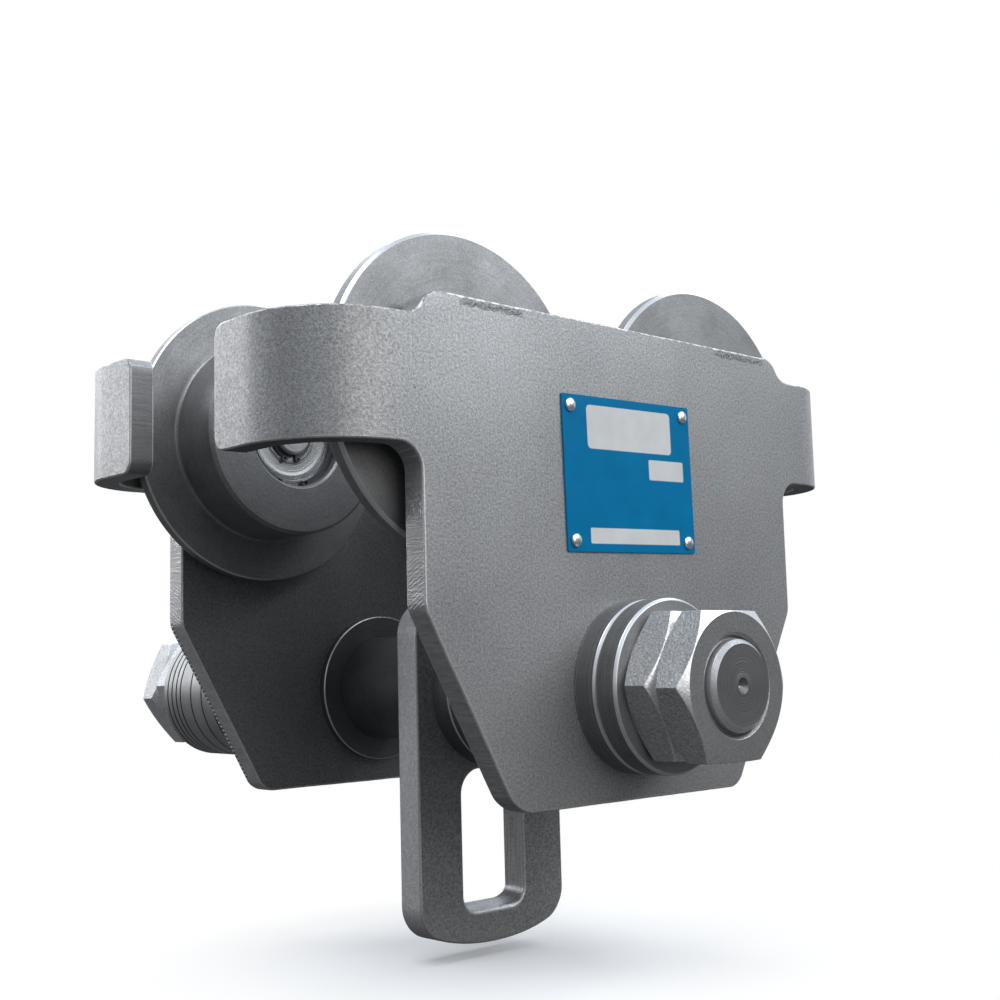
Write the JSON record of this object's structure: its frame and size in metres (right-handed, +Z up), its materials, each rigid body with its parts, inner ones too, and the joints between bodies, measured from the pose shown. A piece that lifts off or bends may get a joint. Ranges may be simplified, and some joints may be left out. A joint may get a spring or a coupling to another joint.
{
  "type": "manual beam trolley",
  "caption": "Push-travel beam trolley: flame-cut side plates with bent bumper ears, flanged wheels, and a threaded load bar with spacers and a slotted lifting link.",
  "frame": {"origin": "middle of the trolley on the surface that its wheels run on: the top of the beam's lower flange, on the web's centre line, half way between the axles", "axes": "+X along the beam; +Y across the beam, from the plate with the data plate to the other one, which is also the load bar's direction; +Z up"},
  "size_m": [0.35, 0.45, 0.3217],
  "materials": {
    "plate_paint": "bead-blasted steel under thin grey metallic paint",
    "wheel_steel": "turned and blasted, thin grey paint",
    "washer_steel": "sawn and turned steel, thin grey paint",
    "link_steel": "blasted plate, thin grey paint, worn in the slot",
    "nut_zinc": "forged hexagons, zinc-plated, turned front bevels",
    "bar_zinc": "turned and zinc-plated, turned ends",
    "bearing_steel": "ground bearing rings and pressed shields",
    "pin_steel": "turned, welded at its shoulder",
    "circlip_steel": "blackened spring steel",
    "data_plate_blue": "blue printed aluminium with bare white fields",
    "rivet_aluminium": "bright"
  },
  "bodies": {
    "frame": {"front_side_plate": "plate_paint", "rear_side_plate": "plate_paint", "load_bar": "bar_zinc", "front_washer_1": "washer_steel", "front_washer_2": "washer_steel", "link_washer_thick": "washer_steel", "link_washer_front": "washer_steel", "link_washer_rear": "washer_steel", "rear_inside_washer": "washer_steel", "spare_thick_washer_1": "washer_steel", "spare_thick_washer_2": "washer_steel", "spare_thick_washer_3": "washer_steel", "spare_thick_washer_4": "washer_steel", "spare_thick_washer_5": "washer_steel", "spare_thick_washer_6": "washer_steel", "spare_thick_washer_7": "washer_steel", "spare_thick_washer_8": "washer_steel", "spare_thick_washer_9": "washer_steel", "spare_thick_washer_10": "washer_steel", "spare_thick_washer_11": "washer_steel", "spare_thin_washer_1": "washer_steel", "spare_thin_washer_2": "washer_steel", "spare_thin_washer_3": "washer_steel", "spare_thin_washer_4": "washer_steel", "front_spacer_tube": "washer_steel", "rear_spacer_tube": "washer_steel", "front_inner_nut": "nut_zinc", "front_outer_nut": "nut_zinc", "rear_inner_nut": "nut_zinc", "rear_outer_nut": "nut_zinc", "data_plate": "data_plate_blue", "data_plate_rivets": "rivet_aluminium", "axle_pin_front_left": "pin_steel", "bearing_inner_race_front_left": "bearing_steel", "pin_circlip_front_left": "circlip_steel", "axle_pin_front_right": "pin_steel", "bearing_inner_race_front_right": "bearing_steel", "pin_circlip_front_right": "circlip_steel", "axle_pin_rear_left": "pin_steel", "bearing_inner_race_rear_left": "bearing_steel", "pin_circlip_rear_left": "circlip_steel", "axle_pin_rear_right": "pin_steel", "bearing_inner_race_rear_right": "bearing_steel", "pin_circlip_rear_right": "circlip_steel"},
    "wheel_front_left_body": {"wheel_front_left": "wheel_steel", "bearing_outer_race_front_left": "bearing_steel", "bore_circlip_front_left": "circlip_steel"},
    "wheel_front_right_body": {"wheel_front_right": "wheel_steel", "bearing_outer_race_front_right": "bearing_steel", "bore_circlip_front_right": "circlip_steel"},
    "wheel_rear_left_body": {"wheel_rear_left": "wheel_steel", "bearing_outer_race_rear_left": "bearing_steel", "bore_circlip_rear_left": "circlip_steel"},
    "wheel_rear_right_body": {"wheel_rear_right": "wheel_steel", "bearing_outer_race_rear_right": "bearing_steel", "bore_circlip_rear_right": "circlip_steel"},
    "link_body": {"lifting_link": "link_steel"}
  },
  "joints": [
    {"name": "wheel_front_left_spin", "type": "hinge", "parent": "frame", "child": "wheel_front_left_body", "pos_m": [-0.0805, -0.0583, 0.05], "axis": [0, 1, 0], "continuous": true},
    {"name": "wheel_front_right_spin", "type": "hinge", "parent": "frame", "child": "wheel_front_right_body", "pos_m": [0.0805, -0.0583, 0.05], "axis": [0, 1, 0], "continuous": true},
    {"name": "wheel_rear_left_spin", "type": "hinge", "parent": "frame", "child": "wheel_rear_left_body", "pos_m": [-0.0805, 0.0583, 0.05], "axis": [0, 1, 0], "continuous": true},
    {"name": "wheel_rear_right_spin", "type": "hinge", "parent": "frame", "child": "wheel_rear_right_body", "pos_m": [0.0805, 0.0583, 0.05], "axis": [0, 1, 0], "continuous": true},
    {"name": "link_swing", "type": "hinge", "parent": "frame", "child": "link_body", "pos_m": [0, 0.0035, -0.077], "axis": [0, 1, 0], "range_deg": [-90, 90]}
  ]
}
